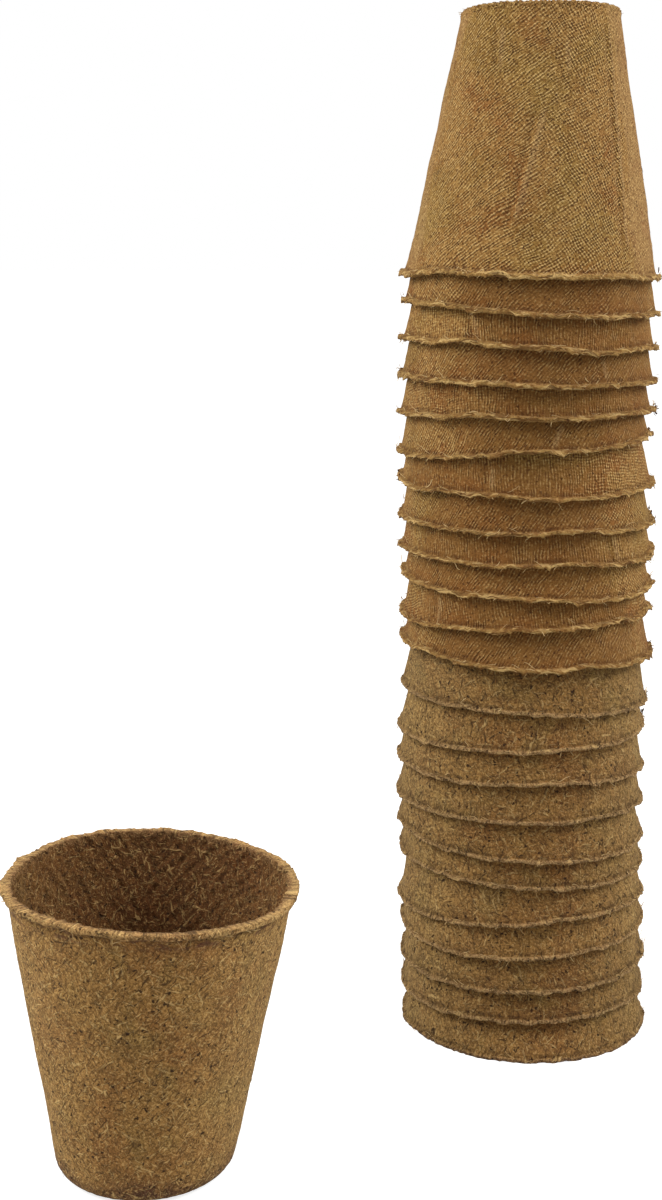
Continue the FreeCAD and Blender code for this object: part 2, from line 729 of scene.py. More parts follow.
        # Painted light: paler towards the left and right of the pot as it stands, and the inside left less
        # dark there
        dry = wear.painted_side_light * np.sin(angle) ** 2
        even = np.ones(len(points))
        tone = wear.tone + np.random.default_rng(wear.seed).uniform(-0.2, 0.2)
        return {
            Mark.LIP: lip * wear.lip_pale,
            # The inside mask is weakened at the sides by the painted side light
            Mark.INSIDE: inside * (1.0 - dry),
            Mark.NECK: form.near_lip(NECK_ZONE, height) * (1.0 - lip) * outside * wear.neck_stain,
            # Painted shade, partly stain, on the band under the pot over it
            Mark.BAND: form.near_lip(BAND_SHADE_ZONE, height) * wear.band_shade_and_stain * outside * stain_and_shade,
            Mark.PRINT: wear.print_strength * (0.3 + 0.7 * printed),
            Mark.SQUARE: ease(wear.square_from - 25.0, wear.square_from + 25.0, degrees + 14.0 * patch),
            Mark.FOLD: fold,
            # Painted shade and dirt towards the base, and the painted lip-edge shadow
            Mark.FOOT_DIRT_AND_SHADE: foot * outside,
            # Painted shade in the corner where the lip meets the wall
            Mark.SEAM: bell((height - (under_lip - 0.5)) / 0.4) * outside,
            # Painted light on the outside towards the left and right
            Mark.SIDE_LIGHT: dry * outside,
            Mark.TURN: even * math.radians(wear.wrap_turn),
            Mark.TONE: even * tone,
        }

    def wrap(self, mesh: bpy.types.Mesh, points: np.ndarray) -> None:
        """Lay the wall out flat as a map in millimetres, with the map's cut at the back.

        Args:
            mesh: The pot's mesh.
            points: Its points on the even cup.
        """
        form = self.form
        corners = np.zeros(len(mesh.loops), np.int32)
        mesh.loops.foreach_get("vertex_index", corners)
        starts = np.zeros(len(mesh.polygons), np.int32)
        mesh.polygons.foreach_get("loop_start", starts)
        sizes = np.diff(np.append(starts, len(corners)))
        face = np.repeat(np.arange(len(starts)), sizes)
        radius = np.hypot(points[:, 0], points[:, 1])
        angle = self.angles(points)[corners]
        low = np.full(len(starts), TAU)
        high = np.full(len(starts), -TAU)
        np.minimum.at(low, face, angle)
        np.maximum.at(high, face, angle)
        crosses = (high - low > math.pi)[face]
        angle = np.where(crosses & (angle < 0.0), angle + TAU, angle)
        mean_r = np.bincount(face, radius[corners]) / sizes
        on_wall = (mean_r > form.base_d / 2.0 - form.base_round * 0.6)[face]
        along = (form.outer_r(points[corners, 2]) / form.slope) / math.cos(form.taper)
        spread = angle * math.sin(form.taper)
        across = np.where(on_wall, along * np.sin(spread), points[corners, 0])
        up = np.where(on_wall, along * np.cos(spread), -points[corners, 1]) * self.upward
        shift = np.random.default_rng(self.wear.seed + 500).uniform(0.0, 300.0, 2)
        flat = np.column_stack([across + shift[0], up + shift[1]])
        layer = mesh.uv_layers.new(name=WRAP_MAP)
        layer.data.foreach_set("uv", flat.astype(np.float32).ravel())


@dataclass
class Strand:
    """One thin loose fibre, one millimetre long, from which all fibres are copied."""

    sides: int = 3
    pieces: int = 6
    thinner_ends: float = 0.55
    helper: tuple[float, float, float] = (0.31, 0.17, 0.93)
    ring: np.ndarray | None = None
    faces: Faces = field(default_factory=list)

    def make(self) -> None:
        """Model the fibre along its length as a thin closed rod and keep its points and faces."""
        pick_nothing()
        bpy.ops.mesh.primitive_circle_add(vertices=self.sides, radius=1.0, fill_type="NGON")
        rod = bpy.context.object
        bpy.ops.object.mode_set(mode="EDIT")
        bpy.ops.mesh.select_all(action="SELECT")
        for _ in range(self.pieces):
            step = (0.0, 0.0, 1.0 / self.pieces)
            bpy.ops.mesh.extrude_region_move(TRANSFORM_OT_translate={"value": step})
        bpy.ops.mesh.select_all(action="SELECT")
        bpy.ops.mesh.normals_make_consistent(inside=False)
        bpy.ops.object.mode_set(mode="OBJECT")
        self.ring = read_points(rod.data)
        self.faces = [tuple(p.vertices) for p in rod.data.polygons]
        bpy.data.objects.remove(rod)

    def rods(self, lines: np.ndarray, sizes: np.ndarray) -> tuple[np.ndarray, Faces]:
        """Lay a copy of the fibre along each line.

        Args:
            lines: Points of each line, one line a row, as many as the fibre has rings.
            sizes: Half thickness of each fibre.

        Returns:
            All points, and all faces.
        """
        along = np.gradient(lines, axis=1)
        along /= np.linalg.norm(along, axis=2, keepdims=True) + 1e-12
        side = np.cross(along, np.tile(np.array(self.helper), (*lines.shape[:2], 1)))
        side /= np.linalg.norm(side, axis=2, keepdims=True) + 1e-12
        other = np.cross(along, side)
        rings = np.rint(self.ring[:, 2] * self.pieces).astype(int)
        taper = 1.0 - self.thinner_ends * np.abs(self.ring[:, 2] * 2.0 - 1.0) ** 3
        points = lines[:, rings]
        for way, reach in ((side, self.ring[:, 0] * taper), (other, self.ring[:, 1] * taper)):
            points = points + way[:, rings] * reach[None, :, None] * sizes[:, None, None]
        total = len(self.ring)
        faces = [tuple(i + k * total for i in face) for k in range(len(lines)) for face in self.faces]
        return points.reshape(-1, 3), faces


@dataclass
class LooseFibres:
    """The stray fibres of one pot: hairs at the lip and short strands pressed in the wall."""

    pot: Pot
    strand: Strand
    counts: dict[Stray, int]
    lowest: float

    def build(self) -> bpy.types.Object:
        """Lay all the fibres of this pot.

        Returns:
            One piece with all of them.
        """
        draw = np.random.default_rng(self.pot.wear.seed + 900)
        lines = np.concatenate([self.lines(kind, count, draw) for kind, count in self.counts.items()])
        ranges = np.repeat([kind.value for kind in self.counts], list(self.counts.values()), axis=0)
        thin, thick, first, last = ranges.T
        count = len(lines)
        placed = self.pot.press(lines.reshape(-1, 3)).reshape(count, -1, 3)
        sizes = (thin + (thick - thin) * draw.random(count) ** 2) * MM
        points, faces = self.strand.rods(placed, sizes)
        mesh = bpy.data.meshes.new(self.pot.name + "_loose_fibres")
        mesh.from_pydata(points.tolist(), [], faces)
        tone = first + (last - first) * draw.random(count)
        write_marks(mesh, {Mark.TONE: np.repeat(tone, len(self.strand.ring))})
        mesh.update()
        return put(mesh.name, mesh)

    def lines(self, kind: Stray, count: int, draw: np.random.Generator) -> np.ndarray:
        """Draw the middle lines of one kind of fibre on the even cup.

        Args:
            kind: Hairs or crumbs at the lip, strands pressed in the wall, or burr at the base's edge.
            count: How many fibres.
            draw: The random source.

        Returns:
            Points of each line, one line a row.
        """
        form = self.pot.form
        share = np.linspace(0.0, 1.0, self.strand.pieces + 1)
        angle = draw.uniform(0.0, TAU, count)
        length = draw.uniform(0.6, 1.7, count) * np.where(draw.random(count) < 0.12, 1.8, 1.0)
        curl = draw.normal(0.0, 0.3, count)[:, None]
        heading = draw.uniform(0.0, TAU, count)[:, None] + curl * share
        follow = 0.0
        if kind is Stray.HAIR:
            length = length * 1.35
            heading = draw.normal(0.0, 0.4, count)[:, None] + curl * share * 1.5
            heading = heading + np.where(draw.random(count) < 0.5, math.pi, 0.0)[:, None]
            start = form.height - draw.uniform(0.1, form.lip_thickness, count)
            base_r = form.lip_d / 2.0 - 0.25
            lift = draw.uniform(0.2, 0.9, count)
        elif kind is Stray.WALL:
            start = draw.uniform(self.lowest, form.height - 2.0, count)
            base_r = form.outer_r(start) + 0.01
            lift = draw.uniform(0.0, 0.12, count)
            follow = form.slope
        elif kind is Stray.INSIDE:
            start = draw.uniform(16.0, form.height - 1.2, count)
            base_r = form.inner_r(start) - 0.01
            lift = -draw.uniform(0.02, 0.35, count)
            follow = form.slope
        elif kind is Stray.CRUMB:
            angle = math.radians(self.pot.wear.crumb_turn or 0.0) + draw.normal(0.0, 0.09, count)
            length = length * 0.6
            start = form.height - draw.uniform(-0.3, form.lip_thickness, count)
            base_r = form.lip_d / 2.0 - 0.2
            lift = draw.uniform(0.0, 0.8, count)
        else:
            length = length * 0.6
            start = draw.uniform(0.2, 1.6, count)
            base_r = form.base_d / 2.0 - 0.45
            lift = draw.uniform(0.5, 1.1, count)
        step = length[:, None] / self.strand.pieces
        sideways = np.cumsum(np.cos(heading) * step, axis=1) - step
        upward = np.cumsum(np.sin(heading) * step, axis=1) - step
        height = np.clip(start[:, None] + upward, min(self.lowest, 6.0) * 0.2, form.height + 1.2)
        radius = np.full(count, base_r)[:, None] + follow * (height - start[:, None])
        radius = radius + lift[:, None] * share ** 2
        round_by = angle[:, None] + sideways / radius
        x = radius * np.sin(round_by)
        y = radius * np.cos(round_by) * -self.pot.upward
        return np.stack([x, y, height], axis=2)


def colour_of(red: int, green: int, blue: int) -> tuple[float, float, float, float]:
    """Carry a screen colour over to the shader's light values.

    Args:
        red: Red part, from 0 to 255.
        green: Green part.
        blue: Blue part.

    Returns:
        The three light values, and 1 for a solid colour.
    """
    parts = [value / 255.0 for value in (red, green, blue)]
    light = [p / 12.92 if p <= 0.04045 else ((p + 0.055) / 1.055) ** 2.4 for p in parts]
    return (*light, 1.0)


class Bench:
    """Adds and joins the nodes of one material or world, and holds the colour laid so far."""

    def __init__(self, owner: bpy.types.Material | bpy.types.World) -> None:
        """Start with no nodes.

        Args:
            owner: The material or world.
        """
        owner.use_nodes = True
        self.owner = owner
        self.tree = owner.node_tree
        self.tree.nodes.clear()
        self.coat: object = None

    def add(self, kind: str, feeds: Feeds | None = None, **options: object) -> bpy.types.Node:
        """Add a node.

        Args:
            kind: The node's type.
            feeds: A value or another node's output for each input, by name or place; None is left out.
            options: The node's own options.

        Returns:
            The node.
        """
        node = self.tree.nodes.new(kind)
        for name, value in options.items():
            setattr(node, name, value)
        for key, value in (feeds or {}).items():
            if isinstance(value, Socket):
                self.tree.links.new(value, node.inputs[key])
            elif value is not None:
                node.inputs[key].default_value = value
        return node

    def calc(self, kind: str, first: object, second: object = None) -> Socket:
        """One arithmetic step on one or two numbers or outputs, such as ADD."""
        return self.add("ShaderNodeMath", {0: first, 1: second}, operation=kind).outputs[0]

    def chain(self, kind: str, *values: object) -> object:
        """Carry an arithmetic step along some numbers or outputs, from the first to the last.

        Args:
            kind: The step, such as MULTIPLY.
            values: The numbers or outputs.

        Returns:
            The result.
        """
        total = values[0]
        for value in values[1:]:
            total = self.calc(kind, total, value)
        return total

    def times(self, *values: object) -> object:
        """Product of some numbers or outputs."""
        return self.chain("MULTIPLY", *values)

    def span(self, value: object, low: float, high: float, start: float = 0.0, end: float = 1.0) -> Socket:
        """Carry a value's range low to high over to start to end, eased and kept within."""
        feeds = dict(enumerate((value, low, high, start, end)))
        return self.add("ShaderNodeMapRange", feeds, interpolation_type="SMOOTHSTEP").outputs[0]

    def fade(self, share: object, start: float, end: float) -> Socket:
        """Go from start to end as a share goes from 0 to 1."""
        return self.span(share, 0.0, 1.0, start, end)

    def cloud(
        self, place: object, scale: float, detail: float = 2.0, rough: float = 0.5, twist: float = 0.0
    ) -> bpy.types.Node:
        """A node of soft random values and colours from 0 to 1, at a scale in waves to a millimetre."""
        feeds = {"Vector": place, "Scale": scale, "Detail": detail, "Roughness": rough, "Distortion": twist}
        return self.add("ShaderNodeTexNoise", feeds)

    def noise(self, *settings: object) -> Socket:
        """Soft random value from 0 to 1, with the settings of a cloud."""
        return self.cloud(*settings).outputs[0]

    def level(self) -> Socket:
        """The piece's own flat map in millimetres, level with its lip."""
        return self.add("ShaderNodeUVMap", uv_map=WRAP_MAP).outputs[0]

    def wrap(self) -> Socket:
        """The piece's own flat map, turned by the piece's own turn."""
        feeds = {"Vector": self.level(), "Angle": self.mark(Mark.TURN)}
        return self.add("ShaderNodeVectorRotate", feeds, rotation_type="Z_AXIS").outputs[0]

    def laid(self, place: object, turn: float, length: float, width: float) -> Socket:
        """Coordinates turned by some degrees, and drawn out so that a mark is length by width."""
        feeds = {"Vector": place, "Rotation": (0.0, 0.0, math.radians(turn)), "Scale": (length, width, 1.0)}
        return self.add("ShaderNodeMapping", feeds, vector_type="TEXTURE").outputs[0]

    def streaks(self, place: object, *lays: Lay) -> object:
        """Short thin marks, 1 in a mark.

        Args:
            place: Flat coordinates in millimetres.
            lays: For each way the marks lie, the turn in degrees, the length, the width, and the level
                of the noise at which a mark starts. A higher level gives fewer marks.

        Returns:
            The mask of all of them.
        """
        parts = []
        for turn, length, width, least in lays:
            value = self.noise(self.laid(place, turn, length, width), 1.0, 1.0, 0.45)
            parts.append(self.span(value, least, least + 0.07))
        return self.chain("MAXIMUM", *parts)

    def warp(self, place: object, scale: float, reach: float) -> Socket:
        """Coordinates pushed about by a soft field, up to reach millimetres."""
        feeds = {0: self.cloud(place, scale, 1.0).outputs["Color"], 1: (reach, reach, reach), 2: place}
        return self.add("ShaderNodeVectorMath", feeds, operation="MULTIPLY_ADD").outputs[0]

    def specks(self, place: object, scale: float, size: float, share: float) -> Socket:
        """Small separate grains, 1 in a grain.

        Args:
            place: Coordinates in millimetres.
            scale: Cells to a millimetre.
            size: Radius of a grain as a share of a cell.
            share: How many of the cells have a grain.

        Returns:
            The grain mask.
        """
        cells = self.add("ShaderNodeTexVoronoi", {"Vector": place, "Scale": scale}, feature="F1")
        parts = self.add("ShaderNodeSeparateColor", {0: cells.outputs["Color"]})
        grain = self.span(cells.outputs["Distance"], size * 0.6, size, 1.0, 0.0)
        return self.times(grain, self.calc("LESS_THAN", parts.outputs[0], share))

    def blend(self, share: object, first: object, second: object) -> Socket:
        """Mix two colours.

        Args:
            share: Share of the second one.
            first: The first colour.
            second: The second colour.

        Returns:
            The mix.
        """
        feeds = {0: share, 6: first, 7: second}
        node = self.add("ShaderNodeMix", feeds, data_type="RGBA", blend_type="MIX", clamp_factor=True)
        return node.outputs[2]

    def lay(self, colour: Colour, *shares: object) -> None:
        """Lay a colour over the ones before it by the product of the shares, or start with it."""
        top = colour_of(*colour)
        self.coat = self.blend(self.times(*shares), self.coat, top) if shares else top

    def mark(self, name: Mark) -> Socket:
        """One of the piece's own marks."""
        feeds = {"attribute_name": name.value, "attribute_type": "GEOMETRY"}
        return self.add("ShaderNodeAttribute", **feeds).outputs["Fac"]

    def shade(self) -> None:
        """Make the colour a little lighter or darker by the piece's own tone."""
        value = self.span(self.mark(Mark.TONE), -1.0, 1.0, 0.82, 1.22)
        self.coat = self.add("ShaderNodeHueSaturation", {"Value": value, "Color": self.coat}).outputs[0]

    def place(self) -> Socket:
        """Object coordinates in millimetres."""
        feeds = {0: self.add("ShaderNodeTexCoord").outputs["Object"], "Scale": 1.0 / MM}
        return self.add("ShaderNodeVectorMath", feeds, operation="SCALE").outputs[0]

    def finish(
        self, height: object = None, depth: float = 0.0, rough: float = 0.95, fuzz: float = 0.15
    ) -> None:
        """Join the laid colour and a relief to a plain shader.

        Args:
            height: Relief output from 0 to 1, or None.
            depth: Depth of the relief in millimetres.
            rough: Roughness.
            fuzz: Strength of the fuzz at grazing angles.
        """
        shader = self.add("ShaderNodeBsdfPrincipled", {
            "Base Color": self.coat,
            "Roughness": rough,
            "Specular IOR Level": 0.18,
            "Sheen Weight": fuzz,
            "Sheen Roughness": 0.55,
            "Sheen Tint": colour_of(214, 184, 140),
        })
        if height is not None:
            bump = self.add("ShaderNodeBump", {"Strength": 1.0, "Distance": depth * MM, "Height": height})
            self.tree.links.new(bump.outputs[0], shader.inputs["Normal"])
        self.add("ShaderNodeOutputMaterial", {0: shader.outputs[0]})


@dataclass(frozen=True)
class CoarseFibre:
    """Pressed coarse pulp: olive tan grain with dark bits and pale short fibres."""

    name: str = "coarse_pressed_fibre"
    body: Colour = (165, 122, 66)
    olive: Colour = (155, 121, 66)
    red: Colour = (148, 99, 51)
    # Paler colour of the painted side light
    dry: Colour = (184, 154, 96)
    dark: Colour = (62, 39, 19)
    pale: Colour = (218, 180, 116)
    lip: Colour = (182, 146, 100)
    bits: Colour = (46, 25, 12)
    # Colour of the neck stains, and of the dirt and painted shade at the foot and the lowest lip's edge
    stain_and_shade: Colour = (88, 54, 42)
    inner: Colour = (74, 36, 15)
    relief: float = 0.34
    pale_lays: tuple[Lay, ...] = (
        (38.0, 3.4, 0.55, 0.66), (104.0, 2.8, 0.5, 0.67), (152.0, 4.2, 0.55, 0.67),
    )
    dark_lays: tuple[Lay, ...] = ((64.0, 2.4, 0.6, 0.66), (12.0, 3.0, 0.55, 0.68))
    hatch_lays: tuple[Lay, ...] = ((58.0, 2.2, 0.34, 0.56), (124.0, 2.0, 0.32, 0.58))

    def material(self) -> bpy.types.Material:
        """Make the material.

        Returns:
            The material.
        """
        bench = Bench(bpy.data.materials.new(self.name))
        place = bench.place()
        flat = bench.warp(bench.wrap(), 0.5, 1.2)
        cloud = bench.noise(place, 0.55, 2.0, 0.6)
        grain = bench.noise(place, 2.1, 2.0, 0.7, 0.4)
        blemish = bench.noise(bench.laid(flat, 0.0, 5.5, 1.5), 1.0, 2.0, 0.6)
        pale_marks = bench.streaks(flat, *self.pale_lays)
        dark_marks = bench.streaks(flat, *self.dark_lays)
        hatch = bench.streaks(flat, *self.hatch_lays)
        bits = bench.specks(bench.warp(place, 1.0, 1.3), 1.0, 0.36, 0.17)
        inside = bench.mark(Mark.INSIDE)
        bench.lay(self.body)
        bench.lay(self.red, bench.span(bench.noise(place, 0.07), 0.4, 0.66, 0.0, 0.7))
        bench.lay(self.olive, bench.span(bench.noise(place, 0.11), 0.5, 0.7, 0.0, 0.8))
        # Painted light: a paler colour towards the left and right sides
        bench.lay(self.dry, bench.mark(Mark.SIDE_LIGHT))
        bench.lay(self.dark, bench.span(cloud, 0.5, 0.78, 0.0, 0.4))
        # Darker, redder inside: partly the pulp's own inner face, partly painted shade in the hollow
        bench.lay(self.inner, inside, 0.7)
        # Painted shade and dirt towards the base, and painted shadow at the lowest pot's lip edge
        bench.lay(self.stain_and_shade, bench.mark(Mark.FOOT_DIRT_AND_SHADE), bench.span(cloud, 0.3, 0.6, 0.45, 0.95))
        bench.lay(self.lip, bench.mark(Mark.LIP), bench.span(grain, 0.66, 0.42, 0.3, 0.9))
        bench.lay(self.dark, bench.span(grain, 0.5, 0.61, 0.0, 0.55))
        bench.lay(self.pale, bench.span(grain, 0.45, 0.34, 0.0, 0.55))
        bench.lay(self.pale, pale_marks, 0.7)
        # More of the inner colour over the grain: painted shade in the hollow, partly the inner face's own
        # colour
        bench.lay(self.inner, inside, 0.4)
        bench.lay(self.stain_and_shade, bench.mark(Mark.NECK), bench.span(blemish, 0.46, 0.6, 0.0, 0.75))
        bench.lay(self.dark, hatch, 0.4)
        bench.lay(self.dark, dark_marks, 0.75)
        bench.lay(self.bits, bits, 0.9)
        # Painted shade: a thin dark line in the corner where the lip meets the wall
        bench.lay(self.dark, bench.mark(Mark.SEAM), bench.span(cloud, 0.38, 0.62, 0.1, 0.7))
        bench.shade()
        height = bench.chain(
            "SUBTRACT", bench.times(pale_marks, 0.5), grain,
            bench.times(bits, 0.5), bench.times(dark_marks, 0.4), bench.times(hatch, 0.3))
        bench.finish(height, self.relief)
        return bench.owner


@dataclass(frozen=True)
class WovenFibre:
    """Pressed fine pulp that keeps the print of the wire mesh it was formed on."""

    name: str = "woven_print_fibre"
    body: Colour = (158, 117, 62)
    pit: Colour = (92, 56, 24)
    red: Colour = (142, 91, 43)
    olive: Colour = (146, 118, 58)
    pink: Colour = (164, 130, 86)
    pale: Colour = (222, 186, 122)
    # Colour of the painted shade and stain on the band under the pot over it
    band: Colour = (128, 86, 40)
    flush: Colour = (132, 80, 34)
    lip: Colour = (166, 130, 74)
    inner: Colour = (108, 70, 36)
    # Brown of the painted shade in the corner at the lip, and of the dark bits
    seam: Colour = (78, 44, 18)
    mesh_pitch: float = 0.66
    mesh_turn: float = 34.0
    relief: float = 0.3

    def print_of_mesh(self, bench: Bench, band: Socket) -> Socket:
        """The print of the wires on the flattened wall.

        Args:
            bench: The material's bench.
            band: 1 on the band that shows under the pot over it, most towards the front; elsewhere it lays
                painted shade on the colour, and here it calms and wears the print where it rubs.

        Returns:
            The print, from about -0.5 in a pit to 0.5 on a bead.
        """
        wrap = bench.wrap()
        swayed = bench.warp(bench.warp(wrap, 0.13, 2.2), 0.8, 0.34)
        wire = self.mesh_pitch / TAU
        parts = bench.add("ShaderNodeSeparateXYZ", {0: bench.laid(swayed, self.mesh_turn, wire, wire)})
        ridge = bench.times(bench.calc("COSINE", parts.outputs[1]), bench.fade(band, 0.33, 0.36))
        square = bench.times(bench.fade(bench.mark(Mark.SQUARE), 0.12, 0.3), bench.fade(band, 1.0, 0.35))
        beads = bench.calc("ADD", ridge, bench.times(bench.calc("COSINE", parts.outputs[0]), square))
        breaks = bench.noise(bench.laid(wrap, self.mesh_turn, 1.9, 1.1), 1.0, 1.0, 0.6)
        worn = bench.times(band, bench.span(bench.noise(wrap, 0.28, 2.0, 0.6), 0.4, 0.6, 0.55, -0.1))
        kept = bench.times(bench.span(breaks, 0.34, 0.62, 0.2, 1.25), bench.calc("SUBTRACT", 1.0, worn))
        return bench.times(beads, kept)

    def material(self) -> bpy.types.Material:
        """Make the material.

        Returns:
            The material.
        """
        bench = Bench(bpy.data.materials.new(self.name))
        place = bench.place()
        flat = bench.warp(bench.wrap(), 0.5, 1.0)
        along = bench.warp(bench.level(), 0.4, 1.2)
        lip = bench.mark(Mark.LIP)
        band = bench.mark(Mark.BAND)
        fold = bench.mark(Mark.FOLD)
        printed = bench.mark(Mark.PRINT)
        patch = bench.noise(place, 0.12, 2.0, 0.6)
        cloud = bench.noise(place, 0.6, 2.0, 0.6)
        grain = bench.noise(place, 1.8, 2.0, 0.6, 0.3)
        bits = bench.specks(bench.warp(place, 1.6, 0.6), 1.1, 0.36, 0.16)
        off_lip = bench.calc("SUBTRACT", 1.0, lip)
        beads = bench.times(self.print_of_mesh(bench, band), bench.times(printed, off_lip))
        rough = bench.times(bench.span(grain, 0.25, 0.75, 0.34, -0.34), bench.fade(band, 1.0, 0.9))
        relief = bench.calc("ADD", beads, rough)
        cracked = bench.times(bench.streaks(along, (2.0, 6.0, 0.5, 0.56)), lip, 0.7)
        bench.lay(self.body)
        bench.lay(self.red, bench.span(patch, 0.46, 0.66, 0.0, 0.9))
        bench.lay(self.olive, bench.span(bench.noise(place, 0.06), 0.45, 0.66, 0.0, 0.6))
        bench.lay(self.pink, bench.span(printed, 0.55, 0.2, 0.0, 0.5))
        # Painted shade, partly stain: darker reddish band under the pot over it, most towards the front
        bench.lay(self.band, band, 0.8)
        bench.lay(self.flush, bench.mark(Mark.NECK), bench.span(patch, 0.42, 0.6, 0.0, 0.36))
        bench.lay(self.pit, bench.span(cloud, 0.5, 0.8, 0.0, 0.3))
        # Darker inside: partly the pulp's own inner face, partly painted shade in the hollow
        bench.lay(self.inner, bench.mark(Mark.INSIDE), 0.5)
        bench.lay(self.lip, lip, bench.span(cloud, 0.62, 0.42, 0.1, 0.85))
        # Painted shadow and painted highlight on the two sides of each crease
        bench.lay(self.pit, bench.span(fold, 0.1, 0.9, 0.0, 0.34))
        bench.lay(self.pink, bench.span(fold, -0.1, -0.8, 0.0, 0.55))
        # Painted shade in the low parts of the wire print and painted highlights on its beads, over the bump
        bench.lay(self.pit, bench.span(relief, 0.02, -0.45, 0.0, 0.82), bench.fade(band, 1.0, 0.95))
        bench.lay(self.pale, bench.span(relief, 0.06, 0.5, 0.0, 0.7), bench.fade(band, 1.0, 0.58))
        bench.lay(self.pale, bench.streaks(flat, (40.0, 3.4, 0.6, 0.7)), 0.16)
        bench.lay(self.pale, bench.streaks(along, (-4.0, 4.0, 0.45, 0.55)), lip, 0.6)
        # Painted shade: a thin dark line in the corner where the lip meets the wall
        bench.lay(self.seam, bench.mark(Mark.SEAM), bench.span(cloud, 0.38, 0.62, 0.15, 0.75))
        bench.lay(self.pit, cracked)
        bench.lay(self.seam, bits, 0.8)
        bench.shade()
        bench.finish(bench.calc("SUBTRACT", relief, bench.times(cracked, 0.5)), self.relief)
        return bench.owner


@dataclass(frozen=True)
class StrayFibre:
    """Pale straw, rust and brown of the loose fibres, by each fibre's tone from 0 to 1."""

    name: str = "stray_fibre"
    pale: Colour = (214, 182, 128)
    rust: Colour = (150, 98, 48)
    brown: Colour = (70, 42, 22)

    def material(self) -> bpy.types.Material:
        """Make the material.

        Returns:
            The material.
        """
        bench = Bench(bpy.data.materials.new(self.name))
        streak = bench.noise(bench.place(), 1.2, 1.0)
        tone = bench.calc("ADD", bench.mark(Mark.TONE), bench.span(streak, 0.2, 0.8, -0.1, 0.1))
        bench.lay(self.pale)
        bench.lay(self.rust, bench.span(tone, 0.2, 0.6))
        bench.lay(self.brown, bench.span(tone, 0.65, 1.0))
        bench.finish(rough=0.8, fuzz=0.1)
        return bench.owner


def dress(piece: bpy.types.Object, material: bpy.types.Material, body: str) -> None:
    """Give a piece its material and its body.

    Args:
        piece: The finished piece.
        material: Its material.
        body: The CAD body it rides on.
    """
    piece.data.materials.clear()
    piece.data.materials.append(material)
    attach(piece, body)
    log.info("%s: %d faces on %s", piece.name, len(piece.data.polygons), body)


def woven_form(lip_thickness: float, base_round: float = 2.2, **options: float) -> PotForm:
    """Sizes of a pot of the woven batch, by the thickness of its lip and the round of its base."""
    wide = {"lip_d": 59.8, "mouth_d": 57.8, "lip_edge_share": 0.3}
    return PotForm(**wide, lip_thickness=lip_thickness, base_round=base_round, **options)


